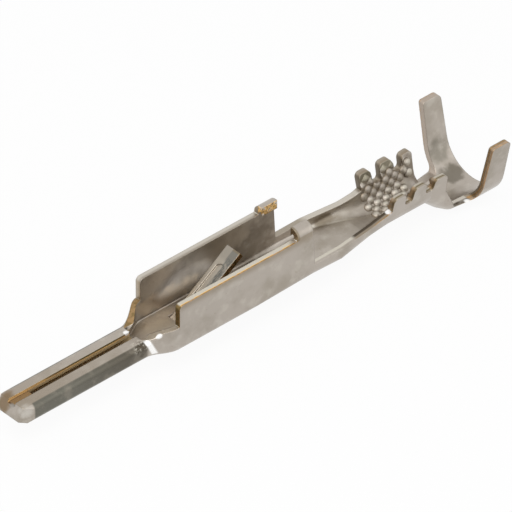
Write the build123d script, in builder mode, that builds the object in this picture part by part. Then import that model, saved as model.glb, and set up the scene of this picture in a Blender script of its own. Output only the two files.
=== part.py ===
from build123d import *
import os
from math import cos, radians, sin, tan

os.makedirs("parts", exist_ok=True)

# Crimp pin contact folded from one strip. X runs from the pin tip to the wire end, Y is
# across, Z is up. The lowest line of the insulation barrel is at Z = 0, and the underside
# of the box and pin lies one deck height above it.
sheet = 0.28
deck = 1.06

# Pin, folded shut with a seam along its top
pin_length = 6.90
pin_half = 0.856
pin_height = 0.90
pin_bend = 0.30
seam = 0.42
nose_half = 0.62
nose_length = 0.75
nose_low = 0.25
nose_high = 0.44
nose_slope = 0.26
nose_round = 0.12
plug_length = 1.3

# Flare where the pin opens out into the box
flare_lead = 0.20
flare_length = 1.18

# Box, open on top
box_length = 7.54
box_square = 4.42
box_rake = 0.10
box_half = 1.375
box_bend = 0.34
box_bend_rear = 0.50
wall_height = 2.38
wall_step = 1.31
wall_corner = 0.20
low_front = 0.70
low_rear = 0.74

# Curled stop tabs on top of the box walls
tab_length = 0.84
tab_top = 2.84
tab_bend = 0.40
tab_lip = 0.095
tab_burr = 0.15
tab_fillet = 0.05

# Locking lance struck up from the floor
lance_setback = 1.02
lance_run = 3.2
lance_width = 0.80
lance_rise = 34.0
lance_gap = 0.10
bead_width = 0.40
bead_length = 2.7
bead_depth = 0.08
bead_setback = 0.35

# Neck between the box and the conductor barrel
crease_run = 1.58
crease_bend = 0.395
neck_run = 1.80
neck_half = 1.17
neck_bend = 0.72
neck_drop = 0.04
mouth_run = 1.20
mouth_rise = 0.10
mouth_round = 0.30

# Conductor barrel with three fingers a side
barrel_length = 3.00
barrel_half = 1.05
barrel_bend = 0.92
barrel_drop = 0.17
barrel_lean = 14.0
finger_top = 1.62
finger_top_rear = 1.46
finger_gap_top = 0.52
finger_gap_root = 0.42
finger_root = 0.92
finger_count = 3
finger_round = 0.22

# Staggered bumps inside the conductor barrel
bump = 0.31
bump_height = 0.09
bump_bury = 0.10
bump_taper = 48.0
bump_pitch = 0.50
bump_row = 0.245
bump_lead = 0.10
bump_columns = 6
bump_rows = 7

# Step down to the insulation barrel
step_lead = 0.70
step_drop = 0.62
step_half = 1.10
step_lean = 8.0
step_run = 0.40

# Insulation barrel
web_top = -0.54
web_length = 1.06
web_corner = 0.25
ear_gap = 1.20
ear_length = 1.00
ear_half = 1.94
ear_bend = 1.92
ear_lean = 12.0
ear_top = 2.50
ear_corner = 0.25

# Distances behind the pin tip where one stretch ends and the next begins
flare_start = pin_length + flare_lead
box_front = flare_start + flare_length
box_rear = box_front + box_length
tab_rear = box_rear - box_rake
tab_front = tab_rear - tab_length
lance_root = box_front + lance_setback
crease = box_rear + crease_run
neck = crease + neck_run
barrel_front = neck + mouth_run
barrel_rear = barrel_front + barrel_length
step_front = barrel_rear - step_lead
step_rear = barrel_rear + step_run
ear_front = step_rear + ear_gap
length = ear_front + ear_length

# Inner face of the conductor barrel
bore = barrel_bend - sheet
bore_flat = barrel_half - barrel_bend
bore_turn = radians(90 - barrel_lean)
bore_arc = bore * bore_turn
bump_middle = barrel_front + bump_lead + (bump_columns - 1) * bump_pitch / 2


def across(x):
    """Plane across the contact at distance x behind the pin tip."""
    return Plane.YZ.offset(x - length / 2)


def trough(x, half, bend, base=0.0, lean=0.0, reach=1.0):
    """U section of the strip: floor, two round bends and two straight walls."""
    hub_y = half - bend
    hub_z = deck + base + bend
    rise = Vector(sin(radians(lean)), cos(radians(lean))) * reach
    with BuildSketch(across(x)) as section:
        with BuildLine():
            outer = CenterArc((hub_y, hub_z), bend, -90, 90 - lean)
            inner = CenterArc((hub_y, hub_z), bend - sheet, -90, 90 - lean)
            outer_wall = Line(outer @ 1, outer @ 1 + rise)
            inner_wall = Line(inner @ 1, inner @ 1 + rise)
            Line(outer_wall @ 1, inner_wall @ 1)
            mirror(about=Plane.YZ)
            Line(outer @ 0, (-hub_y, hub_z - bend))
            Line(inner @ 0, (-hub_y, hub_z - bend + sheet))
        make_face()
    return section.sketch


def unroll(x, half, bend, turn, tail, reach):
    """Section where a pin flange opens into a wall: the wall top curls in by turn degrees."""
    low = (half - bend, deck + bend)
    high = (half - bend, deck + bend + reach)
    droop = Vector(-sin(radians(turn)), cos(radians(turn))) * tail
    with BuildSketch(across(x)) as section:
        with BuildLine():
            low_outer = CenterArc(low, bend, -90, 90)
            low_inner = CenterArc(low, bend - sheet, -90, 90)
            high_outer = CenterArc(high, bend, 0, turn)
            high_inner = CenterArc(high, bend - sheet, 0, turn)
            Line(low_outer @ 1, high_outer @ 0)
            Line(low_inner @ 1, high_inner @ 0)
            tip_outer = Line(high_outer @ 1, high_outer @ 1 + droop)
            tip_inner = Line(high_inner @ 1, high_inner @ 1 + droop)
            Line(tip_outer @ 1, tip_inner @ 1)
            mirror(about=Plane.YZ)
            Line(low_outer @ 0, (bend - half, deck))
            Line(low_inner @ 0, (bend - half, deck + sheet))
        make_face()
    return section.sketch


def along(x, z):
    """Point of the side view: distance behind the tip and height over the box underside."""
    return (x - length / 2, deck + z)


def bore_seat(s):
    """Plane on the inner face of the conductor barrel, s across the sheet from its middle."""
    side = 1 if s > 0 else -1
    turn = min(max(abs(s) - bore_flat, 0) / bore, bore_turn)
    rise = max(abs(s) - bore_flat - bore_arc, 0)
    y = min(abs(s), bore_flat) + bore * sin(turn) + rise * cos(turn)
    z = deck - barrel_drop + barrel_bend - bore * cos(turn) + rise * sin(turn)
    return Plane(
        origin=(bump_middle - length / 2, side * y, z),
        x_dir=(1, 0, 0),
        z_dir=(0, -side * sin(turn), cos(turn)),
    )


with BuildPart() as contact:
    # Folded pin with the folded sheet closed up behind the nose
    stem = pin_height - 2 * pin_bend
    flange = pin_half - pin_bend - seam / 2
    extrude(unroll(0, pin_half, pin_bend, 90, flange, stem), amount=pin_length)
    with BuildSketch(across(0)):
        with Locations((0, deck + pin_height / 2)):
            Rectangle(2 * pin_half - sheet, pin_height - 1.2 * sheet)
    extrude(amount=plug_length)
    with BuildSketch(Plane.XZ):
        with BuildLine():
            Polyline(
                along(pin_length, 0),
                along(nose_length * 0.8, 0),
                along(0, nose_low),
                along(0, nose_high),
                along(nose_slope, pin_height),
                along(pin_length, pin_height),
                close=True,
            )
        make_face()
        fillet(vertices().group_by(Axis.X)[0], radius=nose_round / 2)
    extrude(amount=pin_half * 2, both=True, mode=Mode.INTERSECT)
    with BuildSketch(Plane.XY):
        with BuildLine():
            Polyline(
                (pin_length - length / 2, -pin_half),
                (nose_length - length / 2, -pin_half),
                (-length / 2, -nose_half),
                (-length / 2, nose_half),
                (nose_length - length / 2, pin_half),
                (pin_length - length / 2, pin_half),
                close=True,
            )
        make_face()
        fillet(vertices().group_by(Axis.X)[0], radius=nose_round)
    extrude(amount=deck + pin_height, mode=Mode.INTERSECT)

    # Flare from the pin to the box, where the flanges stand up and become walls
    mid = (pin_half + box_half) / 2
    loft([
        unroll(pin_length, pin_half, pin_bend, 84, 0.06, stem),
        unroll(flare_start, pin_half + 0.02, pin_bend, 62, 0.16, stem + 0.04),
        unroll(flare_start + 0.42 * flare_length, mid - 0.02, pin_bend, 30, 0.40, stem + 0.24),
        unroll(flare_start + 0.74 * flare_length, box_half - 0.06, box_bend, 12, 0.50, stem + 0.42),
        unroll(box_front, box_half, box_bend, 5, 0.50, stem + 0.50),
    ])

    # Box and the strip behind it to the wire end, walls still over height
    over_box = tab_top + sheet
    over_barrel = finger_top + 2 * sheet
    over_ear = ear_top + sheet
    barrel = (barrel_half, barrel_bend, -barrel_drop, barrel_lean, over_barrel)
    step_mid = (ear_half + step_half) / 2
    step_bend = (ear_bend + barrel_bend) / 2
    extrude(trough(box_front, box_half, box_bend, reach=over_box), box_square)
    loft([
        trough(box_front + box_square, box_half, box_bend, reach=over_box),
        trough(box_rear, box_half, box_bend_rear, reach=over_box),
    ], ruled=True)
    loft([
        trough(box_rear, box_half, box_bend_rear, reach=1.4),
        trough(crease, box_half, crease_bend, reach=1.4),
        trough(neck, neck_half, neck_bend, -neck_drop, reach=1.6),
        trough(barrel_front, *barrel),
        trough(step_front, *barrel),
        trough(barrel_rear, step_half, barrel_bend, -barrel_drop - step_drop, step_lean, over_ear),
        trough(step_rear, step_mid, step_bend, -deck, ear_lean, over_barrel),
        trough(ear_front - sheet, ear_half, ear_bend, -deck, ear_lean, over_ear),
        trough(length, ear_half, ear_bend, -deck, ear_lean, over_ear),
    ], ruled=True)

    # Staggered bumps pressed up inside the conductor barrel to grip the bared wire
    for row in range(-bump_rows, bump_rows + 1):
        s = row * bump_row
        on_wall = abs(s) > bore_flat + bore_arc
        columns = bump_columns - row % 2
        offsets = [(k - (columns - 1) / 2) * bump_pitch for k in range(columns)]
        rear_end = barrel_rear if on_wall else step_front
        spots = [(x, 0) for x in offsets if bump_middle + x + 0.6 * bump < rear_end]
        with BuildSketch(bore_seat(s), mode=Mode.PRIVATE) as bump_bases:
            with Locations(*spots):
                Rectangle(bump, bump, rotation=45)
        extrude(bump_bases.sketch, amount=-bump_bury)
        extrude(bump_bases.sketch, amount=bump_height, taper=bump_taper)

    # Side outline the strip is sheared to
    pitch = (barrel_length + finger_gap_top) / finger_count
    with BuildSketch(Plane.XZ):
        with BuildLine():
            start = Polyline(
                along(flare_start, pin_height),
                along(pin_length - sheet, pin_height),
                along(-sheet, pin_height),
                along(-sheet, -deck),
                along(length, -deck),
                along(length, ear_top),
                along(ear_front, ear_top),
                along(step_rear + web_length, web_top),
                along(step_rear, web_top),
                along(barrel_rear, 0.5),
                along(barrel_rear, finger_root),
                along(barrel_front, finger_root),
                along(barrel_front - mouth_round, low_rear + mouth_rise),
                along(barrel_front - mouth_run + mouth_rise, low_rear),
                along(box_rear, low_front),
                along(tab_rear, tab_top - tab_bend),
                along(tab_front, tab_top - tab_bend),
                along(tab_front, wall_height),
                along(box_front, wall_height),
                along(box_front, wall_step),
            )
            Spline(
                start @ 1,
                along(flare_start + flare_length / 2, (wall_step + pin_height) / 2 + 0.03),
                start @ 0,
                tangents=[(-1, -0.2), (-1, 0)],
            )
        make_face()
        crowns = []
        valleys = []
        ease = (finger_gap_top - finger_gap_root) / 2
        for k in range(finger_count):
            near = barrel_front + k * pitch
            far = near + pitch - finger_gap_top
            last = k == finger_count - 1
            crown = finger_top_rear if last else finger_top
            with BuildLine():
                Polyline(
                    along(near - ease * (k > 0), finger_root),
                    along(near, crown),
                    along(far, crown),
                    along(far + ease * (not last), finger_root),
                    along(far, finger_root - sheet),
                    along(near, finger_root - sheet),
                    close=True,
                )
            make_face()
            crowns += [along(near, crown), along(far, crown)]
            valleys += [along(near - ease, finger_root)] * (k > 0)
            valleys += [along(far + ease, finger_root)] * (not last)
        for spot in crowns:
            fillet(vertices().sort_by_distance(spot)[0], radius=finger_round)
        for spot in valleys:
            fillet(vertices().sort_by_distance(spot)[0], radius=finger_gap_root * 0.42)
        corners = [
            (along(length, ear_top), ear_corner),
            (along(ear_front, ear_top), ear_corner / 2),
            (along(box_front, wall_height), wall_corner),
            (along(tab_front, wall_height), tab_fillet),
            (along(step_rear + web_length, web_top), web_corner),
            (along(step_rear, web_top), web_corner),
            (along(barrel_rear, 0.5), web_corner),
        ]
        for spot, radius in corners:
            fillet(vertices().sort_by_distance(spot)[0], radius=radius)
    extrude(amount=2 * ear_half, both=True, mode=Mode.INTERSECT)

    # Stop tabs curled inward on the rear of both walls
    with BuildSketch(across(tab_front)):
        with BuildLine():
            hub = (box_half - tab_bend, deck + tab_top - tab_bend)
            tip = box_half - tab_bend - tab_lip
            curl = CenterArc(hub, tab_bend, 0, 90)
            hollow = CenterArc(hub, tab_bend - sheet, 0, 90)
            lip = Line(curl @ 1, (tip, deck + tab_top))
            under = Line(hollow @ 1, (tip, deck + tab_top - sheet - tab_burr))
            Line(lip @ 1, under @ 1)
            Line(curl @ 0, hollow @ 0)
        make_face()
        mirror(about=Plane.YZ)
    extrude(amount=tab_length)

    # Window in the floor and the lance struck up out of it
    slope = radians(lance_rise)
    reach = lance_run / cos(slope)
    with BuildSketch(Plane.XY.offset(deck - sheet)):
        with Locations((lance_root + reach / 2 - length / 2, 0)):
            Rectangle(reach, lance_width + 2 * lance_gap)
    extrude(amount=2.5 * sheet, mode=Mode.SUBTRACT)
    with BuildSketch(Plane.XZ):
        with BuildLine():
            Polyline(
                along(lance_root - sheet, sheet),
                along(lance_root, sheet),
                along(lance_root + lance_run, sheet + lance_run * tan(slope)),
                along(
                    lance_root + lance_run + sheet * sin(slope),
                    sheet + lance_run * tan(slope) - sheet * cos(slope),
                ),
                along(lance_root + sheet * tan(slope / 2), 0),
                along(lance_root - sheet, 0),
                close=True,
            )
        make_face()
    extrude(amount=lance_width / 2, both=True)

    # Lengthwise bead pressed into the top of the lance
    blade = Plane(
        origin=(lance_root - length / 2, 0, deck + sheet),
        x_dir=(cos(slope), 0, sin(slope)),
        z_dir=(-sin(slope), 0, cos(slope)),
    )
    with BuildSketch(blade):
        with Locations((bead_length / 2 + bead_setback, 0)):
            SlotOverall(bead_length, bead_width)
    extrude(amount=-bead_depth, mode=Mode.SUBTRACT)

contact.part.label = "pin_contact"
export_step(contact.part, "parts/pin_contact.step")
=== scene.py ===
"""Dresses the crimp pin contact: tin plate, sheared edges, floor, studio light and camera.

Places are in millimetres: x counts from the pin tip to the rear, y from the middle to the far
side, and z from the underside of the box upwards.
"""

import logging
import math
from dataclasses import dataclass
from enum import Enum
from functools import cached_property
from typing import Any

import bpy
from mathutils import Matrix, Vector


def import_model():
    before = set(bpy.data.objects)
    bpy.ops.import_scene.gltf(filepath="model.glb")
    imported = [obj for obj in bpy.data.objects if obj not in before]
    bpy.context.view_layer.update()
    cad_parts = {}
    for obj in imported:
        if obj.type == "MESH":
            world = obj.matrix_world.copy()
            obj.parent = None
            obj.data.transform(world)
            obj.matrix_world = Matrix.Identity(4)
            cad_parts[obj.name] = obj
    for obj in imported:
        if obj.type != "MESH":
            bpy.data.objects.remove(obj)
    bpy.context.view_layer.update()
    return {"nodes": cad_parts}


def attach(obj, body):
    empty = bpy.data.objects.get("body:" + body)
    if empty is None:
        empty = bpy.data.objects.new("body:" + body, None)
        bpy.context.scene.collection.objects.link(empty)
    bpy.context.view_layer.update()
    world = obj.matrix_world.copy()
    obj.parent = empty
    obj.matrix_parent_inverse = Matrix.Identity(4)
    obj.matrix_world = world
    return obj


LOG = logging.getLogger("pin_contact")
MM = 0.001

Colour = tuple[float, float, float]
Place = tuple[float, float, float]
Range = tuple[float, float]

WHITE: Colour = (1.0, 1.0, 1.0)


class Axis(Enum):
    """One component of a place or of a normal."""

    ALONG = "X"
    ACROSS = "Y"
    UP = "Z"


class Output(Enum):
    """What a node graph ends in."""

    MATERIAL = "ShaderNodeOutputMaterial"
    WORLD = "ShaderNodeOutputWorld"


@dataclass(frozen=True)
class Pattern:
    """A cloudy noise: waves per millimetre, octaves, their strength, a shift and a stretch."""

    scale: float
    detail: float
    rough: float
    shift: float
    stretch: Place = (1.0, 1.0, 1.0)


class Value:
    """A number carried by a node socket, on which shader maths is written."""

    def __init__(self, graph: "Graph", socket: bpy.types.NodeSocket) -> None:
        """Wraps a socket.

        Args:
            graph: The graph that new nodes go into.
            socket: The output socket that carries the number.
        """
        self.graph = graph
        self.socket = socket

    def _math(self, operation: str, *terms: Any) -> "Value":
        """Adds a Math node.

        Args:
            operation: The node's operation.
            terms: Its inputs, in order.

        Returns:
            The result.
        """
        settings = {"operation": operation}
        return self.graph.node("ShaderNodeMath", settings, dict(enumerate(terms)))

    def __add__(self, other: Any) -> "Value":
        """Sum."""
        return self._math("ADD", self, other)

    def __radd__(self, other: Any) -> "Value":
        """Sum with a number on the left."""
        return self._math("ADD", other, self)

    def __sub__(self, other: Any) -> "Value":
        """Difference."""
        return self._math("SUBTRACT", self, other)

    def __rsub__(self, other: Any) -> "Value":
        """Difference from a number on the left."""
        return self._math("SUBTRACT", other, self)

    def __mul__(self, other: Any) -> "Value":
        """Product."""
        return self._math("MULTIPLY", self, other)

    def __rmul__(self, other: Any) -> "Value":
        """Product with a number on the left."""
        return self._math("MULTIPLY", other, self)

    def __abs__(self) -> "Value":
        """Size without sign."""
        return self._math("ABSOLUTE", self)

    def root(self) -> "Value":
        """Square root."""
        return self._math("SQRT", self)

    def either(self, other: Any) -> "Value":
        """The larger of two masks."""
        return self._math("MAXIMUM", self, other)

    def _ramp(self, kind: str, start: float, end: float, low: float, high: float) -> "Value":
        """Adds a Map Range node that stays level before its start and after its end.

        Args:
            kind: The node's interpolation.
            start: Where the ramp begins.
            end: Where it ends, above start.
            low: The result up to start.
            high: The result from end on.

        Returns:
            The result.
        """
        settings = {"interpolation_type": kind, "clamp": True}
        values = {"Value": self, "From Min": start, "From Max": end, "To Min": low, "To Max": high}
        return self.graph.node("ShaderNodeMapRange", settings, values)

    def rise(self, start: float, end: float) -> "Value":
        """A smooth mask.

        Args:
            start: Where it is still 0.
            end: Where it has become 1, on either side of start.

        Returns:
            The mask.
        """
        if start > end:
            return self._ramp("SMOOTHSTEP", end, start, 1.0, 0.0)
        return self._ramp("SMOOTHSTEP", start, end, 0.0, 1.0)

    def past(self, edge: float, soft: float) -> "Value":
        """A mask that turns from 0 to 1 at an edge, over soft on both sides."""
        return self.rise(edge - soft, edge + soft)

    def before(self, edge: float, soft: float) -> "Value":
        """A mask that turns from 1 to 0 at an edge, over soft on both sides."""
        return self.rise(edge + soft, edge - soft)

    def within(self, low: float, high: float, soft: float) -> "Value":
        """A mask that is 1 between two values and fades over soft on both sides of each."""
        return self.past(low, soft) * self.before(high, soft)

    def about(self, middle: float, half: float, soft: float) -> "Value":
        """A mask that is 1 up to half away from a value and fades over soft there."""
        return self.within(middle - half, middle + half, soft)

    def track(self, points: list[tuple[float, float]]) -> "Value":
        """A value that runs straight from point to point.

        Args:
            points: Pairs of this value and the result there, in rising order.

        Returns:
            The result, level before the first point and after the last.
        """
        ramps = [
            self._ramp("LINEAR", start, end, 0.0, high - low)
            for (start, low), (end, high) in zip(points, points[1:])
            if low != high
        ]
        return sum(ramps[1:], ramps[0]) + points[0][1]


class Graph:
    """The node graph of one material or of the surroundings."""

    def __init__(self, owner: bpy.types.Material | bpy.types.World, output: Output) -> None:
        """Empties the owner's graph.

        Args:
            owner: The material or the world.
            output: What the graph ends in.
        """
        owner.use_nodes = True
        self.owner = owner
        self.tree = owner.node_tree
        self.tree.nodes.clear()
        self.output = self.tree.nodes.new(output.value)
        self._noises: dict[Pattern, Value] = {}

    def node(
        self, kind: str, settings: dict[str, Any], inputs: dict[Any, Any], output: Any = None
    ) -> Value:
        """Adds any node.

        Args:
            kind: The node's type.
            settings: Its properties, set first.
            inputs: Values or links of its sockets, by name or number.
            output: The output's name or number; the first enabled one by default.

        Returns:
            The chosen output.
        """
        made = self.tree.nodes.new(kind)
        for key, value in settings.items():
            setattr(made, key, value)
        for key, value in inputs.items():
            socket = made.inputs[key] if isinstance(key, int) else self._enabled(made, key)
            if isinstance(value, Value):
                self.tree.links.new(value.socket, socket)
            elif socket.type == "RGBA":
                socket.default_value = (*value, 1.0)
            else:
                socket.default_value = value
        if output is None:
            chosen = next(socket for socket in made.outputs if socket.enabled)
        else:
            chosen = made.outputs[output]
        return Value(self, chosen)

    @staticmethod
    def _enabled(made: bpy.types.Node, key: str) -> bpy.types.NodeSocket:
        """The input of that name that the node's settings leave in use."""
        return next(socket for socket in made.inputs if socket.name == key and socket.enabled)

    @cached_property
    def place(self) -> Value:
        """The point on the contact.

        Returns:
            Its place, in millimetres of the model's frame.
        """
        raw = self.node("ShaderNodeTexCoord", {}, {}, "Object")
        scale = {"operation": "SCALE"}
        return self.node("ShaderNodeVectorMath", scale, {0: raw, "Scale": 1 / MM})

    @cached_property
    def facing(self) -> Value:
        """The way the surface faces, in the model's frame."""
        return self.node("ShaderNodeTexCoord", {}, {}, "Normal")

    def part(self, vector: Value, axis: Axis) -> Value:
        """One component of a vector."""
        return self.node("ShaderNodeSeparateXYZ", {}, {0: vector}, axis.value)

    def noise(self, pattern: Pattern) -> Value:
        """Cloudy noise, made once for each pattern.

        Args:
            pattern: The noise's look.

        Returns:
            A value near 0.5, mostly between 0.3 and 0.7.
        """
        if pattern not in self._noises:
            stretch = {"operation": "MULTIPLY"}
            scaled = {0: self.place, 1: pattern.stretch}
            values = {
                "Vector": self.node("ShaderNodeVectorMath", stretch, scaled),
                "W": pattern.shift,
                "Scale": pattern.scale,
                "Detail": pattern.detail,
                "Roughness": pattern.rough,
            }
            settings = {"noise_dimensions": "4D"}
            self._noises[pattern] = self.node("ShaderNodeTexNoise", settings, values, 0)
        return self._noises[pattern]

    def mix(self, first: Any, second: Any, share: Any) -> Value:
        """Mixes two colours or two normals.

        Args:
            first: What share 0 gives.
            second: What share 1 gives.
            share: The second one's share.

        Returns:
            The mixture.
        """
        settings = {"data_type": "RGBA", "clamp_factor": True}
        values = {"Factor": share, "A": first, "B": second}
        return self.node("ShaderNodeMix", settings, values)

    def rounded(self, radius: float, samples: int) -> Value:
        """The normal with edges that look rounded to a radius in millimetres."""
        return self.node("ShaderNodeBevel", {"samples": samples}, {"Radius": radius * MM})

    def metal(self, colour: Value, rough: Value, metallic: Any, normal: Value) -> Value:
        """A metal shader.

        Args:
            colour: Base colour.
            rough: Roughness.
            metallic: How metallic it is.
            normal: The surface normal.

        Returns:
            The shader.
        """
        values = {"Base Color": colour, "Roughness": rough, "Metallic": metallic, "Normal": normal}
        return self.node("ShaderNodeBsdfPrincipled", {}, values)

    def finish(self, shader: Value) -> bpy.types.Material | bpy.types.World:
        """Links the shader to the output and gives the owner."""
        self.tree.links.new(shader.socket, self.output.inputs["Surface"])
        return self.owner


@dataclass(frozen=True)
class Station:
    """One cross section of the folded strip: where its bends turn, how wide and how leaning."""

    x: float
    hub_y: float
    hub_z: float
    bend: float
    lean: float = 0.0


@dataclass(frozen=True)
class Strip:
    """Sizes of the folded strip that the finish and the bumps follow."""

    length: float = 26.0
    deck: float = 1.06
    sheet: float = 0.28
    pin_length: float = 6.9
    pin_height: float = 0.90
    pin_half: float = 0.856
    seam_half: float = 0.21
    seam_rear: float = 7.65
    box_front: float = 8.28
    box_rear: float = 15.82
    box_half: float = 1.375
    wall_height: float = 2.38
    low_edge: float = 0.55
    tab_front: float = 14.88
    tab_crest: float = 2.79
    tab_tip: float = 0.88
    lance_half: float = 0.40
    lance_root: float = 9.30
    lance_tip: float = 13.00
    barrel_front: float = 20.40
    barrel_rear: float = 23.40
    barrel_half: float = 1.05
    barrel_bend: float = 0.92
    barrel_drop: float = 0.17
    barrel_lean: float = 14.0
    ear_front: float = 24.80
    rear_floor: float = -0.66
    stations: tuple[Station, ...] = (
        Station(15.82, 1.035, 0.34, 0.34),
        Station(17.40, 0.98, 0.395, 0.395),
        Station(19.20, 0.45, 0.68, 0.72),
        Station(20.40, 0.13, 0.75, 0.92, 14.0),
        Station(22.70, 0.13, 0.75, 0.92, 14.0),
        Station(23.40, 0.18, 0.13, 0.92, 8.0),
        Station(23.80, 0.10, 0.36, 1.42, 12.0),
        Station(24.72, 0.02, 0.86, 1.92, 12.0),
    )


class Surface:
    """A point of the contact: where it lies, how deep in the sheet, and which way it faces."""

    crease: float = 0.02
    squarely: Range = (0.90, 0.96)

    def __init__(self, graph: Graph, strip: Strip) -> None:
        """Reads the point and its normal.

        Args:
            graph: The material's graph.
            strip: Sizes of the folded strip.
        """
        self.graph = graph
        self.x = graph.part(graph.place, Axis.ALONG) + strip.length / 2
        self.y = graph.part(graph.place, Axis.ACROSS)
        self.z = graph.part(graph.place, Axis.UP) - strip.deck
        self.side = abs(self.y)
        self.along = graph.part(graph.facing, Axis.ALONG)
        self.across = graph.part(graph.facing, Axis.ACROSS)
        self.up = graph.part(graph.facing, Axis.UP)
        self.near = self.y.before(0.0, self.crease)
        self.thick = self._depth(strip)

    def _depth(self, strip: Strip) -> Value:
        """How far through the folded sheet the point lies.

        Args:
            strip: Sizes of the folded strip.

        Returns:
            0 on the inner face and 1 on the outer face.
        """
        hub_y = self.x.track([(s.x, s.hub_y) for s in strip.stations])
        hub_z = self.x.track([(s.x, s.hub_z) for s in strip.stations])
        bend = self.x.track([(s.x, s.bend) for s in strip.stations])
        sine = self.x.track([(s.x, math.sin(math.radians(s.lean))) for s in strip.stations])
        out = self.side - hub_y
        up = self.z - hub_z
        wall = out - up * sine
        arc = (out * out + up * up).root()
        on_wall = (up + bend * sine).past(0.0, self.crease)
        reach = wall * on_wall + arc * (1 - on_wall)
        return (reach - bend) * (1 / strip.sheet) + 1

    def faces_end(self) -> Value:
        """The mask of faces that look along the strip."""
        return abs(self.along).rise(*self.squarely)

    def faces_side(self) -> Value:
        """The mask of faces that look straight to a side."""
        return abs(self.across).rise(*self.squarely)


@dataclass(frozen=True)
class Patch:
    """A soft round patch: its middle, its reach on each axis, its strength and its full core."""

    place: Place
    reach: Place
    share: float
    core: float

    def mask(self, at: Surface, wobble: Value) -> Value:
        """How strongly the patch covers a point.

        Args:
            at: The surface.
            wobble: Noise round 0 that makes the outline irregular.

        Returns:
            Its share at the middle, falling to 0 at its reach.
        """
        total = wobble
        for value, middle, reach in zip((at.x, at.y, at.z), self.place, self.reach):
            off = (value - middle) * (1 / reach)
            total = total + off * off
        return total.rise(1.0, self.core) * self.share


@dataclass(frozen=True)
class StainAndPaintedLight(Patch):
    """A patch of another tone on the plate: some are the metal's own tones, some painted shade and
    light.
    """

    colour: Colour


@dataclass(frozen=True)
class Glint(Patch):
    """A small painted highlight, where the metal would mirror the lamp."""

    share: float = 1.0
    core: float = 0.3


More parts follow.
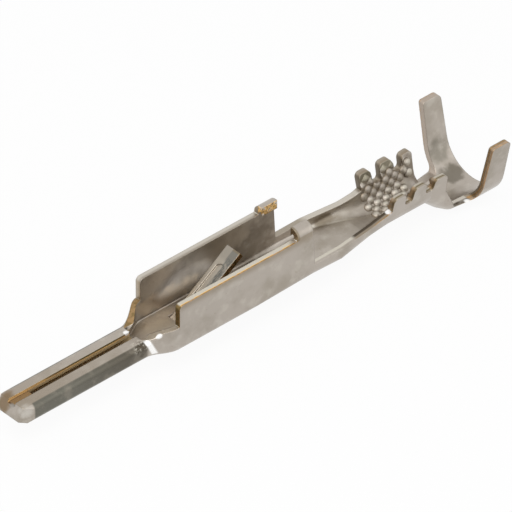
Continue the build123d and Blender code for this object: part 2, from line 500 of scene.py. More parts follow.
@dataclass(frozen=True)
class SheetMetal:
    """The contact's metal: tin plate over copper alloy, bare where it was sheared."""

    strip: Strip = Strip()
    # Tones of the plate
    tin: Colour = (0.445, 0.400, 0.350)
    tin_light: Colour = (0.56, 0.52, 0.455)
    tin_dull: Colour = (0.345, 0.305, 0.250)
    tarnish: Colour = (0.25, 0.19, 0.12)
    # painted shade of the pin's flanks
    flank_shade: Colour = (0.155, 0.148, 0.122)
    blue_grey: Colour = (0.105, 0.112, 0.105)
    # white of the painted highlights: the streak, the glints and the tab's glitter
    bright: Colour = (0.97, 0.96, 0.94)
    # Tones of the cut rims
    rim: Colour = (0.60, 0.56, 0.48)
    rim_mid: Colour = (0.37, 0.325, 0.262)
    rim_low: Colour = (0.295, 0.242, 0.180)
    shade: Colour = (0.085, 0.066, 0.046)
    rosy: Colour = (0.44, 0.375, 0.315)
    rolled: Colour = (0.2298, 0.1835, 0.1179)
    # Tones of the bare alloy
    copper: Colour = (0.50, 0.29, 0.125)
    olive: Colour = (0.150, 0.112, 0.042)
    gold: Colour = (0.90, 0.60, 0.24)
    orange: Colour = (0.62, 0.385, 0.205)
    cavity: Colour = (0.52, 0.40, 0.225)
    brown: Colour = (0.30, 0.19, 0.085)
    # Noises
    clouds: Pattern = Pattern(0.55, 4.0, 0.60, 0.0)
    blotches: Pattern = Pattern(1.7, 4.0, 0.55, 3.0)
    specks: Pattern = Pattern(7.0, 2.0, 0.50, 5.0)
    grain: Pattern = Pattern(9.0, 4.0, 0.60, 7.0, (0.30, 1.0, 1.0))
    foil: Pattern = Pattern(6.5, 4.0, 0.70, 41.0)
    glitter: Pattern = Pattern(10.0, 3.0, 0.65, 43.0)
    near_ragged: Pattern = Pattern(5.0, 3.0, 0.60, 21.0)
    far_ragged: Pattern = Pattern(4.0, 4.0, 0.65, 31.0)
    dents: Pattern = Pattern(0.8, 2.0, 0.50, 11.0)
    ripples: Pattern = Pattern(3.0, 2.0, 0.50, 13.0, (0.4, 1.0, 1.0))
    # Places and lines of the finish
    neck_light: float = 17.45
    neck_shade: float = 18.20
    neck_copper: float = 19.35
    web_front: float = 22.75
    # middle of the painted light and shade specks on the flare
    speckle_glare_x: float = 6.75
    # where the painted highlight streak crosses the flare
    streak_x: float = 7.375
    streak_slope: float = 0.43
    fold_x: float = 17.88
    fold_y: float = 0.94
    fold_slope: float = 0.367
    bead_x: float = 11.5
    bead_slope: float = 0.05
    bead_run: Range = (10.70, 12.25)
    blade_end: Range = (12.00, 12.55)
    fold_run: Range = (17.60, 19.60)
    straight_wall: Range = (8.30, 15.70)
    roll_front: Range = (15.02, 14.94)
    top_fade: Range = (6.50, 0.50)
    flank_front: Range = (0.70, 0.80)
    flank_fade: Range = (2.00, 7.50)
    lip_olive: Range = (1.60, 2.80)
    plug_front: float = 0.30
    plug_rear: float = 1.33
    hollow_rear: float = 7.20
    # Relief and gloss
    edge_round: float = 0.06
    bump_round: float = 0.08
    finger_round: float = 0.24
    relief_depth: float = 0.10
    relief_strength: float = 0.5
    dent_height: float = 0.60
    ripple_height: float = 0.15
    grain_height: float = 0.03
    foil_height: float = 0.60
    plate_rough: float = 0.30
    cloud_rough: float = 0.10
    rim_rough: float = 0.08
    shine_gloss: float = 0.12
    seam_rough: float = 0.55
    seam_dullness: float = 0.70
    bump_rough: float = 0.42
    bump_metallic: float = 0.75
    wobble_size: float = 2.2
    glint_wobble: float = 0.66
    stains_and_painted_light: tuple[StainAndPaintedLight, ...] = (
        # Far wall, flare and nose
        # painted shade on the far wall's inner face, inside the box
        StainAndPaintedLight((14.5, 1.08, 0.95), (1.5, 0.22, 1.5), 0.45, 0.25, (0.09, 0.070, 0.045)),
        # painted light on the far wall's inner face, against the tab's shadow
        StainAndPaintedLight((12.7, 1.08, 2.00), (2.0, 0.22, 0.9), 0.55, 0.25, (0.62, 0.56, 0.47)),
        # painted shade along the foot of the far wall's inner face
        StainAndPaintedLight((10.0, 1.08, 0.36), (4.0, 0.22, 0.26), 0.15, 0.0, (0.16, 0.125, 0.08)),
        # painted shade on the near flare's bend
        StainAndPaintedLight((8.3, -0.95, 0.40), (0.70, 0.40, 0.34), 0.80, 0.25, (0.20, 0.165, 0.115)),
        StainAndPaintedLight((8.9, 0.10, 0.20), (1.2, 0.60, 0.20), 0.45, 0.0, (0.30, 0.255, 0.19)),
        StainAndPaintedLight((0.25, 0.40, 0.62), (0.75, 0.50, 0.45), 0.75, 0.25, (0.20, 0.125, 0.055)),
        StainAndPaintedLight((0.30, -0.05, 0.80), (0.30, 0.22, 0.30), 0.55, 0.25, (0.16, 0.15, 0.13)),
        # painted highlight on the nose
        StainAndPaintedLight((0.45, -0.62, 0.62), (0.40, 0.36, 0.36), 0.50, 0.0, (0.74, 0.71, 0.65)),
        # Far fingers and the root of the lance
        StainAndPaintedLight((20.75, 0.95, 1.45), (0.55, 0.45, 0.45), 0.70, 0.0, (0.27, 0.255, 0.170)),
        StainAndPaintedLight((21.90, 0.95, 1.45), (0.55, 0.45, 0.45), 0.60, 0.0, (0.31, 0.290, 0.200)),
        StainAndPaintedLight((9.50, 0.05, 0.38), (0.35, 0.60, 0.22), 0.55, 0.0, (0.22, 0.185, 0.135)),
        # Front of the far wall, flare, neck and mouth of the barrel
        StainAndPaintedLight((9.5, 1.08, 0.80), (2.2, 0.22, 0.60), 0.70, 0.0, (0.78, 0.66, 0.51)),
        StainAndPaintedLight((7.6, 0.85, 0.55), (1.0, 0.45, 0.6), 0.45, 0.25, (0.25, 0.19, 0.12)),
        StainAndPaintedLight((8.45, -0.10, 0.30), (1.20, 0.95, 0.20), 0.50, 0.0, (0.66, 0.60, 0.50)),
        # painted shade over the far bend inside the neck
        StainAndPaintedLight((18.5, 1.00, 0.35), (0.80, 0.35, 0.35), 0.70, 0.25, (0.19, 0.15, 0.10)),
        StainAndPaintedLight((18.1, -0.20, 0.26), (1.4, 0.80, 0.40), 0.28, 0.0, (0.24, 0.205, 0.155)),
        StainAndPaintedLight((18.9, 0.70, 0.20), (1.0, 0.50, 0.40), 0.35, 0.0, (0.26, 0.22, 0.165)),
        # painted light on the far wall at the barrel's mouth, over its shadow
        StainAndPaintedLight((20.0, 0.90, 0.70), (0.9, 0.50, 0.50), 0.40, 0.0, (0.62, 0.58, 0.50)),
        # Far ear
        StainAndPaintedLight((25.40, 0.68, -0.62), (0.65, 0.60, 0.38), 0.75, 0.25, (0.15, 0.132, 0.10)),
        StainAndPaintedLight((25.35, 1.60, 0.05), (0.75, 0.55, 0.85), 0.70, 0.0, (0.19, 0.175, 0.14)),
    )
    # painted highlights
    glints: tuple[Glint, ...] = (
        # Flare, mouth of the barrel, near ear and near tab
        Glint((7.44, -0.98, 1.06), (0.21, 0.18, 0.17)),
        Glint((6.76, 0.27, 0.90), (0.17, 0.15, 0.18)),
        Glint((20.30, -0.94, 0.88), (0.15, 0.20, 0.14)),
        Glint((24.52, -1.28, -0.45), (0.20, 0.26, 0.20)),
        Glint((14.76, -1.26, 2.38), (0.12, 0.12, 0.10)),
    )

    def plate(self, at: Surface) -> Value:
        """The colour of plain plate: dull clouds, light blotches and dark specks.

        Args:
            at: The surface.

        Returns:
            The colour.
        """
        graph = at.graph
        dull = graph.noise(self.clouds).rise(0.44, 0.66) * 0.70
        light = graph.noise(self.blotches).rise(0.50, 0.66) * 0.42
        speck = graph.noise(self.specks).rise(0.66, 0.76) * 0.35
        colour = graph.mix(self.tin, self.tin_dull, dull)
        return graph.mix(graph.mix(colour, self.tin_light, light), self.tarnish, speck)

    def shade_pin(self, at: Surface, plate: Value) -> Value:
        """Paints shade on the pin's flanks, and on its top towards the tip and the near side.

        Args:
            at: The surface.
            plate: The colour so far.

        Returns:
            The new colour.
        """
        graph, strip = at.graph, self.strip
        on_pin = at.x.rise(strip.pin_length + 0.16, strip.pin_length - 0.04)
        top = on_pin * at.z.rise(strip.pin_height - 0.05, strip.pin_height - 0.03)
        toward_tip = at.x.rise(*self.top_fade) * 0.45 + at.near * 0.25
        # painted shade on the pin's top, towards the tip and on the near side
        plate = graph.mix(plate, self.rim_low, top * toward_tip)
        flank = abs(at.across).rise(0.22, 0.45) * at.z.rise(0.12, 0.20) * on_pin
        flank = flank * at.x.rise(*self.flank_front)
        retoned = graph.noise(self.blotches).rise(0.48, 0.66) * 0.30
        # painted shade on the flanks, darker towards the rear
        deeper = graph.mix(self.flank_shade, self.shade, at.x.rise(*self.flank_fade) * 0.62)
        return graph.mix(plate, graph.mix(deeper, self.tin_dull, retoned), flank)

    def tone_walls(self, at: Surface, plate: Value) -> Value:
        """Darkens the near wall's top; paints light and shade specks on the flare and a highlight
        on the fold.

        Args:
            at: The surface.
            plate: The colour so far.

        Returns:
            The new colour.
        """
        graph, strip = at.graph, self.strip
        foil = graph.noise(self.foil)
        outer = at.side.past(strip.box_half - 0.01, 0.005) * at.x.within(*self.straight_wall, 0.1)
        shoulder = at.z.rise(strip.wall_height - 0.42, strip.wall_height) * outer * at.near
        plate = graph.mix(plate, self.rim_low, shoulder * 0.75)
        # painted light and shade: speckled reflections on the near flare
        speckle_glare = at.x.about(self.speckle_glare_x, 0.40, 0.18) * at.near
        speckle_glare = speckle_glare * at.side.rise(0.40, 0.50) * at.z.rise(0.55, 0.70)
        plate = graph.mix(plate, self.rim, speckle_glare * foil.rise(0.52, 0.60) * 0.9)
        plate = graph.mix(plate, self.shade, speckle_glare * foil.rise(0.48, 0.42) * 0.8)
        # painted highlight along the neck's fold
        fold = at.y + (at.x - self.fold_x) * self.fold_slope
        ridge_highlight = fold.about(self.fold_y, 0.05, 0.03) * at.x.within(*self.fold_run, 0.25)
        return graph.mix(plate, self.rim, ridge_highlight * at.thick.rise(0.30, 0.20) * 0.75)

    def darken_lance(self, at: Surface, plate: Value) -> Value:
        """Darkens the lance's top: a hatched blue-grey tone in its bead and painted shade at its
        end.

        Args:
            at: The surface.
            plate: The colour so far.

        Returns:
            The new colour.
        """
        graph, strip = at.graph, self.strip
        blade = at.z.past(strip.low_edge, 0.05) * at.up.rise(0.5, 0.7)
        blade = blade * at.side.rise(strip.lance_half + 0.02, strip.lance_half + 0.01)
        blade = blade * at.x.within(strip.lance_root + 0.1, strip.lance_tip, 0.02)
        bead_side = at.y + (at.x - self.bead_x) * self.bead_slope
        bead = at.x.within(*self.bead_run, 0.15) * bead_side.rise(0.0, -0.06)
        # painted shade at the lance's end, more on its near side
        end = at.x.within(*self.blade_end, 0.1) * (0.2 + at.near * 0.4)
        hatch = graph.noise(self.grain).rise(0.35, 0.60) * 0.55 + 0.25
        plate = graph.mix(plate, self.rim_mid, blade * 0.8)
        return graph.mix(plate, self.blue_grey, blade * (bead * hatch).either(end))

    def bare_lance(self, at: Surface, colour: Value) -> Value:
        """Bares the cut sides of the lance.

        Args:
            at: The surface.
            colour: The colour so far.

        Returns:
            The new colour.
        """
        graph, strip = at.graph, self.strip
        cut = at.side.about(strip.lance_half, 0.006, 0.002) * at.faces_side()
        cut = cut * at.x.within(strip.lance_root, strip.lance_tip, 0.02)
        bare = graph.mix(self.olive, self.copper, graph.noise(self.foil).rise(0.4, 0.6))
        return graph.mix(colour, bare, cut)

    def shade_between_bumps(self, at: Surface, plate: Value) -> Value:
        """Paints shade on the low inner face of the barrel, between its bumps.

        Args:
            at: The surface.
            plate: The colour so far.

        Returns:
            The new colour.
        """
        strip = self.strip
        inside = at.x.within(strip.barrel_front, strip.barrel_rear - 0.35, 0.08)
        inside = inside * at.thick.rise(0.30, 0.10) * at.z.rise(1.10, 0.85)
        return at.graph.mix(plate, self.tin_dull, inside * 0.55)

    def sheared(self, at: Surface) -> Value:
        """The mask of the rims that the side outline was cut to.

        Args:
            at: The surface.

        Returns:
            1 on the cut rims and 0 on plated faces.
        """
        strip = self.strip
        flat_side = abs(at.across).rise(0.10, 0.04)
        over_floor = at.z.past(strip.low_edge, 0.01)
        over_rear = at.z.past(strip.rear_floor, 0.01) * at.x.past(self.web_front, 0.05)
        behind_pin = at.x.past(strip.pin_length, 0.01)
        under_tabs = at.z.before(strip.tab_crest, 0.01)
        clear = at.side.rise(strip.lance_half + 0.02, strip.lance_half + 0.03)
        rims = flat_side * over_floor.either(over_rear) * behind_pin
        return rims * under_tabs.either(at.faces_end()) * clear

    def near_rims(self, at: Surface, plate: Value) -> Value:
        """The tone of the cut rims on the side where the copper shows.

        Args:
            at: The surface.
            plate: The plate's own colour.

        Returns:
            The rim colour.
        """
        graph, strip, thick = at.graph, self.strip, at.thick
        front = at.along.rise(-0.35, -0.75)
        ragged = graph.noise(self.near_ragged).rise(0.35, 0.65)
        bare = graph.mix(self.copper, self.olive, ragged * 0.6)
        dark = graph.mix(self.olive, self.copper, ragged * 0.35)
        flare = graph.mix(self.rim_low, self.rim_mid, ragged * 0.6)
        box = graph.mix(self.rim, self.gold, thick.rise(0.60, 0.72) * ragged.rise(0.0, 0.5))
        box = graph.mix(box, bare, thick.rise(0.72, 0.86))
        # painted shade on the rims that face the front
        box = graph.mix(box, dark, front)
        colour = graph.mix(flare, box, at.x.rise(strip.box_front - 0.03, strip.box_front))
        fore = graph.mix(self.rim, plate, thick.rise(0.45, 0.7))
        colour = graph.mix(colour, fore, at.x.rise(strip.box_rear, strip.box_rear + 0.02))
        aft = graph.mix(self.shade, self.rim_low, thick.rise(0.42, 0.62))
        aft = graph.mix(aft, bare, thick.rise(0.8, 0.95) * at.x.past(self.neck_copper, 0.15))
        colour = graph.mix(colour, aft, at.x.past(self.neck_shade, 0.15))
        fingers = graph.mix(self.rim_mid, self.rim, thick.within(0.10, 0.40, 0.1) * 0.6)
        fingers = graph.mix(fingers, self.olive, thick.within(0.55, 0.78, 0.08) * 0.85)
        fingers = graph.mix(fingers, self.rim_mid, thick.rise(0.80, 0.92) * 0.8)
        retoned = graph.mix(self.rim_low, self.copper, ragged * 0.5)
        retoned = graph.mix(retoned, self.olive, thick.rise(0.55, 0.85) * 0.6)
        # painted shade on the fingers' rims that face the front
        fingers = graph.mix(fingers, retoned, front * 0.9)
        on_barrel = at.x.rise(strip.barrel_front - 0.06, strip.barrel_front)
        colour = graph.mix(colour, fingers, on_barrel)
        web = graph.mix(self.tin_light, self.shade, thick.rise(0.30, 0.50) * (0.6 + ragged * 0.4))
        web = graph.mix(web, self.rim_mid, thick.rise(0.85, 0.95))
        colour = graph.mix(colour, web, at.x.past(strip.barrel_rear + 0.35, 0.05))
        ear = graph.mix(self.rim_low, self.rim_mid, ragged * 0.7)
        ear = graph.mix(ear, bare, thick.within(0.30, 0.62, 0.08) * 0.85)
        ear = graph.mix(ear, self.orange, thick.rise(0.62, 0.84) * (0.30 + ragged * 0.45))
        return graph.mix(colour, ear, at.x.past(strip.ear_front - 0.15, 0.05))

    def far_rims(self, at: Surface) -> Value:
        """The tone of the cut rims on the side that the plate covers.

        Args:
            at: The surface.

        Returns:
            The rim colour.
        """
        graph, strip, thick = at.graph, self.strip, at.thick
        ragged = graph.noise(self.far_ragged).rise(0.40, 0.60)
        mottled = graph.mix(self.olive, self.orange, 0.15 + ragged * 0.32)
        mottled = graph.mix(mottled, self.rim_low, thick.rise(0.5, 0.9) * 0.7)
        wall = graph.mix(self.tin_dull, self.tin_light, thick.rise(0.05, 0.60))
        colour = graph.mix(mottled, wall, at.x.past(strip.box_front, 0.04))
        colour = graph.mix(colour, self.rim_mid, at.x.rise(strip.box_rear, strip.box_rear + 0.1))
        colour = graph.mix(colour, self.tin_light, at.x.past(self.neck_light, 0.25))
        fingers = graph.mix(self.rim_low, self.rim_mid, thick.rise(0.3, 0.9) * 0.8)
        fingers = graph.mix(fingers, self.shade, abs(at.along).rise(0.5, 0.9) * 0.6)
        on_barrel = at.x.rise(strip.barrel_front - 0.2, strip.barrel_front)
        colour = graph.mix(colour, fingers, on_barrel)
        colour = graph.mix(colour, self.tin, at.x.past(strip.barrel_rear + 0.1, 0.1))
        rosy = graph.mix(self.rosy, self.copper, thick.rise(0.7, 0.95) * ragged * 0.3)
        return graph.mix(colour, rosy, at.x.past(strip.ear_front - 0.15, 0.05))

    def over_wall(self, at: Surface) -> Value:
        """The mask of the stop tabs, which stand over the walls."""
        return at.z.rise(self.strip.wall_height, self.strip.wall_height + 0.02)

    def tab_breaks(self, at: Surface) -> Value:
        """The mask of the front faces and free ends of the curled tabs.

        Args:
            at: The surface.

        Returns:
            The mask.
        """
        strip = self.strip
        over_wall = self.over_wall(at)
        front = at.faces_end() * over_wall * at.x.about(strip.tab_front, 0.05, 0.025)
        end = at.side.about(strip.tab_tip, 0.01, 0.004) * abs(at.across).rise(0.8, 0.9)
        return front.either(end * over_wall)

    def break_tabs(self, at: Surface, colour: Value, breaks: Value) -> Value:
        """Lays crumpled gold and painted glitter on the far tab's break, dark copper on the near
        tab's curl.

        Args:
            at: The surface.
            colour: The colour so far.
            breaks: The mask of the broken faces.

        Returns:
            The new colour.
        """
        graph = at.graph
        foil = graph.noise(self.foil)
        glitter = graph.noise(self.glitter)
        crumpled = graph.mix(self.copper, self.gold, glitter.rise(0.42, 0.52))
        # painted highlight: white glitter on the crumpled break
        crumpled = graph.mix(crumpled, self.bright, foil.rise(0.53, 0.60) * 0.85)
        crumpled = graph.mix(crumpled, self.olive, glitter.rise(0.44, 0.37) * 0.8)
        crumpled = graph.mix(crumpled, self.rim_low, at.side.rise(1.10, 1.16))
        curl = graph.mix(self.copper, self.olive, foil.rise(0.40, 0.62) * 0.6)
        colour = graph.mix(colour, graph.mix(crumpled, curl, at.near), breaks)
        rolled = at.near * self.over_wall(at) * at.x.rise(*self.roll_front) * 0.75
        return graph.mix(colour, self.rolled, rolled)

    def seam_faces(self, at: Surface) -> Value:
        """The mask of the two flange faces that meet in the pin's seam."""
        seam = at.side.before(self.strip.seam_half + 0.015, 0.005)
        return seam * at.faces_side() * at.x.before(self.strip.seam_rear, 0.05)

    def hollow_pin(self, at: Surface) -> Value:
        """The mask of the inside of the folded pin.

        Args:
            at: The surface.

        Returns:
            The mask.
        """
        strip = self.strip
        inner = at.side.before(strip.pin_half - 0.16, 0.01)
        inner = inner * at.z.within(0.05, strip.pin_height - 0.14, 0.02)
        return inner * at.x.past(self.plug_front, 0.05) * at.x.before(self.hollow_rear, 0.1)

    def seam_lip(self, at: Surface) -> Value:
        """The bare flange faces: copper painted light as gold and orange in the seam's shade,
        olive along their top.

        Args:
            at: The surface.

        Returns:
            The colour.
        """
        graph = at.graph
        # bare copper, painted light as gold and orange where the seam shades it
        lip = graph.mix(self.gold, self.orange, graph.noise(self.clouds).rise(0.42, 0.60) * 0.6)
        retoned = at.z.rise(0.79, 0.83) * at.x.rise(*self.lip_olive).either(0.25)
        lip = graph.mix(lip, self.olive, retoned)
        return graph.mix(lip, self.copper, graph.noise(self.blotches).rise(0.42, 0.62) * 0.25)

    def shine(self, at: Surface, wobble: Value) -> Value:
        """The mask of the painted highlight streak on the flare and of the small painted glints.

        Args:
            at: The surface.
            wobble: Noise round 0 that makes the outlines irregular.

        Returns:
            The mask.
        """
        streak = (at.x + at.z * self.streak_slope).about(self.streak_x, 0.125, 0.05)
        shine = streak * at.near * abs(at.across).rise(0.2, 0.45)
        shine = shine * at.z.rise(0.16, 0.24) * at.z.rise(0.93, 0.85)
        for glint in self.glints:
            shine = shine.either(glint.mask(at, wobble))
        return shine

    def relief(self, at: Surface, breaks: Value) -> Value:
        """The normal: dents and ripples over rounded edges, which are rounder on the fingers.

        Args:
            at: The surface.
            breaks: The mask of the crumpled faces.

        Returns:
            The normal.
        """
        graph, strip = at.graph, self.strip
        height = graph.noise(self.dents) * self.dent_height
        height = height + graph.noise(self.ripples) * self.ripple_height
        height = height + graph.noise(self.grain) * self.grain_height
        height = height + graph.noise(self.foil) * breaks * self.foil_height
        fingers = at.x.within(strip.barrel_front + 0.04, strip.barrel_rear, 0.03)
        fingers = fingers * at.z.rise(0.96, 1.10) * at.thick.rise(0.10, -0.02)
        sharp = graph.rounded(self.edge_round, 6)
        normal = graph.mix(sharp, graph.rounded(self.finger_round, 8), fingers)
        values = {
            "Strength": self.relief_strength,
            "Distance": self.relief_depth * MM,
            "Height": height,
            "Normal": normal,
        }
        return graph.node("ShaderNodeBump", {}, values)

    def dress(self) -> bpy.types.Material:
        """Builds the metal of the strip.

        Returns:
            The material.
        """
        graph = Graph(bpy.data.materials.new("tin_plated_strip"), Output.MATERIAL)
        at = Surface(graph, self.strip)
        wobble = graph.noise(self.blotches) - 0.5
        plate = self.shade_pin(at, self.plate(at))
        plate = self.tone_walls(at, plate)
        # stains, and patches of painted shade and painted light
        for tone_patch in self.stains_and_painted_light:
            covered = tone_patch.mask(at, wobble * self.wobble_size)
            plate = graph.mix(plate, tone_patch.colour, covered)
        plate = self.darken_lance(at, plate)
        # painted shade between the bumps
        plate = self.shade_between_bumps(at, plate)
        rims = self.sheared(at)
        cut = graph.mix(self.far_rims(at), self.near_rims(at, plate), at.near)
        breaks = self.tab_breaks(at)
        colour = self.break_tabs(at, graph.mix(plate, cut, rims), breaks)
        seam = self.seam_faces(at)
        colour = graph.mix(colour, self.seam_lip(at), seam)
        hollow = self.hollow_pin(at)
        inside = graph.mix(self.brown, self.cavity, at.x.past(self.plug_rear, 0.03))
        colour = graph.mix(colour, inside, hollow)
        colour = self.bare_lance(at, colour)
        shine = self.shine(at, wobble * self.glint_wobble)
        # painted highlights: the streak on the flare and the glints
        colour = graph.mix(colour, self.bright, shine)
        dull = seam.either(hollow)
        cloudy = graph.noise(self.clouds).rise(0.35, 0.65) * self.cloud_rough
        rough = self.plate_rough + cloudy + rims * self.rim_rough
        rough = rough - shine * self.shine_gloss + dull * self.seam_rough
        metallic = 1 - dull * self.seam_dullness
        return graph.finish(graph.metal(colour, rough, metallic, self.relief(at, breaks)))

    def dress_bumps(self) -> bpy.types.Material:
        """Builds the metal of the pressed bumps, with painted shade in their valleys and
        highlights on their crowns.

        Returns:
            The material.
        """
        graph = Graph(bpy.data.materials.new("pressed_bumps"), Output.MATERIAL)
        at = Surface(graph, self.strip)
        blotches = graph.noise(self.blotches)
        plate = graph.mix(self.tin_dull, self.tin, blotches.rise(0.40, 0.62))
        # painted shade in the valleys between the bumps
        plate = graph.mix(self.rim_low, plate, at.thick.rise(0.0, -0.22))
        # painted highlight on the bumps' crowns
        plate = graph.mix(plate, self.rim, at.thick.rise(-0.28, -0.42) * 0.9)
        rough = self.bump_rough + blotches.rise(0.35, 0.65) * 0.08
        normal = graph.rounded(self.bump_round, 6)
        return graph.finish(graph.metal(plate, rough, self.bump_metallic, normal))


@dataclass(frozen=True)
class GripBumps:
    """Staggered cushion bumps pressed up inside the conductor barrel."""

    strip: Strip = Strip()
    step_lead: float = 0.70
    finger_root: float = 0.92
    finger_gap: float = 0.52
    finger_count: int = 3
    gap_half: float = 0.235
    gap_facets: int = 32
    pitch: float = 0.50
    row_step: float = 0.245
    lead: float = 0.10
    columns: int = 6
    half: float = 0.186
    curve: float = 0.25
    crown: float = 0.12
    bury: float = 0.04
    facets: int = 20
    top_row: int = 5
    high_spots: tuple[float, ...] = (22.0, 23.0)

    @property
    def bore(self) -> float:
        """Radius of the barrel's inner face."""
        return self.strip.barrel_bend - self.strip.sheet

    @property
    def flat(self) -> float:
        """Half the width of the barrel's flat floor."""
        return self.strip.barrel_half - self.strip.barrel_bend

    @property
    def most(self) -> float:
        """Angle over which the floor curves up into the leaning wall."""
        return math.radians(90 - self.strip.barrel_lean)

    def cushion(self) -> bpy.types.Object:
        """Models one bump: the cap of a ball with a flat base a little under its seat.

        Returns:
            The bump, with its seat at height 0.
        """
        bpy.ops.object.select_all(action="DESELECT")
        bpy.ops.mesh.primitive_uv_sphere_add(
            segments=self.facets,
            ring_count=self.facets,
            radius=self.curve * MM,
            location=(0.0, 0.0, (self.crown - self.curve) * MM),
        )
        bpy.ops.object.transform_apply(location=True, rotation=False, scale=False)
        bump = bpy.context.active_object
        bump.name = "bump"
        bpy.ops.object.mode_set(mode="EDIT")
        bpy.ops.mesh.select_mode(type="VERT")
        bpy.ops.mesh.select_all(action="DESELECT")
        bpy.ops.object.mode_set(mode="OBJECT")
        for vertex in bump.data.vertices:
            vertex.select = vertex.co.z < -self.bury * MM
        bpy.ops.object.mode_set(mode="EDIT")
        bpy.ops.mesh.delete(type="VERT")
        bpy.ops.mesh.select_non_manifold()
        bpy.ops.mesh.edge_face_add()
        bpy.ops.mesh.select_all(action="SELECT")
        bpy.ops.mesh.normals_make_consistent(inside=False)
        bpy.ops.object.mode_set(mode="OBJECT")
        bpy.ops.object.shade_smooth()
        return bump

    def seat(self, x: float, s: float) -> Matrix:
        """Where a bump sits on the barrel's inner face.

        Args:
            x: Distance behind the pin tip.
            s: Distance across the sheet from its middle.

        Returns:
            The seat's place and turn.
        """
        strip = self.strip
        hand = 1 if s > 0 else -1
        turn = min(max(abs(s) - self.flat, 0.0) / self.bore, self.most)
        rise = max(abs(s) - self.flat - self.bore * self.most, 0.0)
        y = min(abs(s), self.flat) + self.bore * math.sin(turn) + rise * math.cos(turn)
        z = strip.deck - strip.barrel_drop + strip.barrel_bend - self.bore * math.cos(turn)
        z += rise * math.sin(turn)
        up = Vector((0.0, -hand * math.sin(turn), math.cos(turn)))
        along = Vector((1.0, 0.0, 0.0))
        turned = Matrix((along, up.cross(along), up)).transposed().to_4x4()
        place = Vector((x - strip.length / 2, hand * y, z)) * MM
        return Matrix.Translation(place) @ turned

    def gaps(self) -> list[float]:
        """Works out where the gaps between the fingers are.

        Returns:
            Their middles, as distances behind the pin tip.
        """
        length = self.strip.barrel_rear - self.strip.barrel_front
        step = (length + self.finger_gap) / self.finger_count
        first = self.strip.barrel_front + step - self.finger_gap / 2
        return [first + step * gap for gap in range(self.finger_count - 1)]

    def trim(self, bump: bpy.types.Object) -> None:
        """Cuts a bump back to the round bottoms of the gaps between the fingers.

        Args:
            bump: A bump on its seat.
        """
        height = self.strip.deck + self.finger_root + self.gap_half
        for middle in self.gaps():
            bpy.ops.object.select_all(action="DESELECT")
            bpy.ops.mesh.primitive_cylinder_add(
                vertices=self.gap_facets,
                radius=self.gap_half * MM,
                depth=4 * self.strip.barrel_half * MM,
                location=Vector((middle - self.strip.length / 2, 0.0, height)) * MM,
                rotation=(math.radians(90), 0.0, 0.0),
            )
            cutter = bpy.context.active_object
            cut = bump.modifiers.new("gap", "BOOLEAN")
            cut.operation = "DIFFERENCE"
            cut.solver = "EXACT"
            cut.object = cutter
            bpy.context.view_layer.objects.active = bump
            bpy.ops.object.modifier_apply(modifier=cut.name)
            bpy.data.objects.remove(cutter)

    def spots(self) -> list[tuple[int, float]]:
        """Which bumps there are, in staggered rows along the barrel.

        Returns:
            Each bump's row, counted from the middle of the sheet, and distance behind the tip.
        """
        middle = self.strip.barrel_front + self.lead + (self.columns - 1) * self.pitch / 2
        arc_end = self.flat + self.bore * self.most
        spots = []
        for row in range(-self.top_row - 1, self.top_row + 2):
            on_wall = abs(row * self.row_step) > arc_end
            limit = self.strip.barrel_rear - (0.0 if on_wall else self.step_lead)
            count = self.columns - row % 2
            for column in range(count):
                x = middle + (column - (count - 1) / 2) * self.pitch
                wanted = abs(row) <= self.top_row or round(x, 2) in self.high_spots
                if wanted and x + self.half <= limit:
                    spots.append((row, x))
        return spots

    def build(self) -> bpy.types.Object:
        """Models the bumps and sets them on the barrel.

        Returns:
            All bumps as one piece.
        """
        pattern = self.cushion()
        copies = []
        for row, x in self.spots():
            copy = pattern.copy()
            copy.data = pattern.data.copy()
            copy.matrix_world = self.seat(x, row * self.row_step)
            bpy.context.scene.collection.objects.link(copy)
            copies.append(copy)
            if abs(row) == self.top_row:
                self.trim(copy)
        bpy.data.objects.remove(pattern)
        return joined("grip_bumps", copies)


def joined(name: str, pieces: list[bpy.types.Object]) -> bpy.types.Object:
    """Joins pieces into one that lies at the origin, unturned.

    Args:
        name: The joined piece's name.
        pieces: The pieces to join.

    Returns:
        The joined piece.
    """
    bpy.ops.object.select_all(action="DESELECT")
    for piece in pieces:
        piece.select_set(True)
    bpy.context.view_layer.objects.active = pieces[0]
    bpy.ops.object.transform_apply(location=True, rotation=True, scale=True)
    bpy.ops.object.join()
    whole = bpy.context.active_object
    whole.name = name
    LOG.info("joined %d pieces as %s", len(pieces), name)
    return whole


@dataclass(frozen=True)
class Lamp:
    """One soft square lamp that looks at the contact: place and side in mm, power in watts."""

    name: str
    place: Place
    side: float
    power: float

    def hang(self) -> None:
        """Makes the lamp."""
        data = bpy.data.lights.new(self.name, "AREA")
        data.shape = "SQUARE"
        data.size = self.side * MM
        data.energy = self.power
        lamp = bpy.data.objects.new(self.name, data)
        bpy.context.scene.collection.objects.link(lamp)
        lamp.location = Vector(self.place) * MM
        lamp.rotation_mode = "QUATERNION"
        lamp.rotation_quaternion = (-Vector(self.place)).to_track_quat("-Z", "Y")


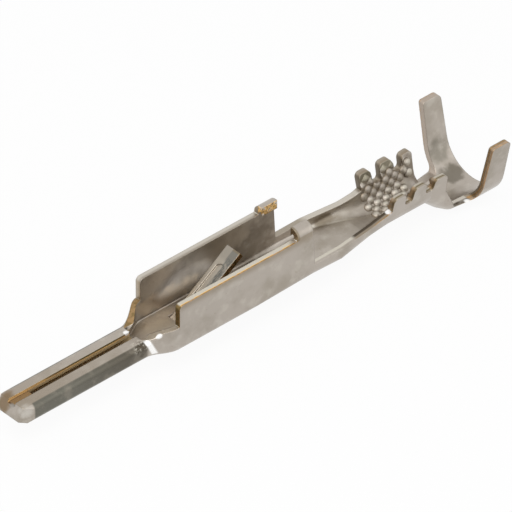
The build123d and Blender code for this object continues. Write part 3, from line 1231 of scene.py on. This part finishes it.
@dataclass(frozen=True)
class Studio:
    """Floor, lights and camera, placed round the contact."""

    azimuth: float = -42.0
    elevation: float = 37.87
    lens: float = 1200.0
    sensor: float = 36.0
    nearest: float = 0.01
    farthest: float = 10.0
    pixels: float = 512.0
    pixels_per_mm: float = 24.0
    aim: Place = (1.97, 1.36, 1.06)
    floor_half: float = 400.0
    floor_colour: Colour = (0.90, 0.90, 0.90)
    floor_glow: float = 0.93
    sky_power: float = 0.6
    lamps: tuple[Lamp, ...] = (
        Lamp("key", (-60.0, -40.0, 140.0), 110.0, 0.11),
        Lamp("fill", (60.0, -150.0, 60.0), 160.0, 0.03),
    )

    def camera(self) -> None:
        """Makes the camera at the photograph's angle."""
        turn = math.radians(self.azimuth)
        tilt = math.radians(self.elevation)
        level = math.cos(tilt)
        back = Vector((math.sin(turn) * level, -math.cos(turn) * level, math.sin(tilt)))
        width = self.pixels / self.pixels_per_mm
        data = bpy.data.cameras.new("photo_camera")
        data.sensor_width = self.sensor
        data.lens = self.lens
        data.clip_start = self.nearest
        data.clip_end = self.farthest
        eye = bpy.data.objects.new("photo_camera", data)
        bpy.context.scene.collection.objects.link(eye)
        eye.location = (Vector(self.aim) + back * (width * self.lens / self.sensor)) * MM
        eye.rotation_mode = "QUATERNION"
        eye.rotation_quaternion = (-back).to_track_quat("-Z", "Y")
        bpy.context.scene.camera = eye

    @staticmethod
    def seen(graph: Graph) -> Value:
        """Tells which rays have to find a white ground.

        Args:
            graph: The graph that needs to know.

        Returns:
            1 for rays from the camera and for rays off a glossy face, 0 for others.
        """
        straight = graph.node("ShaderNodeLightPath", {}, {}, "Is Camera Ray")
        mirrored = graph.node("ShaderNodeLightPath", {}, {}, "Is Glossy Ray")
        return straight.either(mirrored)

    def floor(self) -> None:
        """Lays the pale floor, which the camera sees as white."""
        bpy.ops.mesh.primitive_plane_add(size=2 * self.floor_half * MM)
        plane = bpy.context.active_object
        plane.name = "floor"
        graph = Graph(bpy.data.materials.new("pale_floor"), Output.MATERIAL)
        matt = graph.node("ShaderNodeBsdfDiffuse", {}, {"Color": self.floor_colour})
        glow = graph.node("ShaderNodeEmission", {}, {"Color": WHITE, "Strength": 1.0})
        share = self.seen(graph) * self.floor_glow
        shader = graph.node("ShaderNodeMixShader", {}, {0: share, 1: matt, 2: glow})
        plane.data.materials.append(graph.finish(shader))

    def world(self) -> None:
        """Fills the surroundings with plain light that the camera sees as white."""
        world = bpy.data.worlds.new("studio")
        bpy.context.scene.world = world
        graph = Graph(world, Output.WORLD)
        sky = {"Color": WHITE, "Strength": self.sky_power}
        light = graph.node("ShaderNodeBackground", {}, sky)
        white = graph.node("ShaderNodeBackground", {}, {"Color": WHITE, "Strength": 1.0})
        share = self.seen(graph)
        graph.finish(graph.node("ShaderNodeMixShader", {}, {0: share, 1: light, 2: white}))

    def build(self) -> None:
        """Makes the whole studio."""
        self.camera()
        self.floor()
        self.world()
        for lamp in self.lamps:
            lamp.hang()
        bpy.context.scene.view_settings.view_transform = "Standard"


def main() -> None:
    """Loads the frame, dresses the contact and sets the studio round it."""
    logging.basicConfig(level=logging.INFO, format="%(name)s: %(message)s")
    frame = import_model()
    bpy.ops.object.select_all(action="DESELECT")
    finish = SheetMetal()
    metal = finish.dress()
    for name, node in frame["nodes"].items():
        node.data.materials.clear()
        node.data.materials.append(metal)
        LOG.info("dressed %s", name)
    bumps = GripBumps().build()
    bumps.data.materials.clear()
    bumps.data.materials.append(finish.dress_bumps())
    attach(bumps, "root")
    Studio().build()


if __name__ == "__main__":
    main()
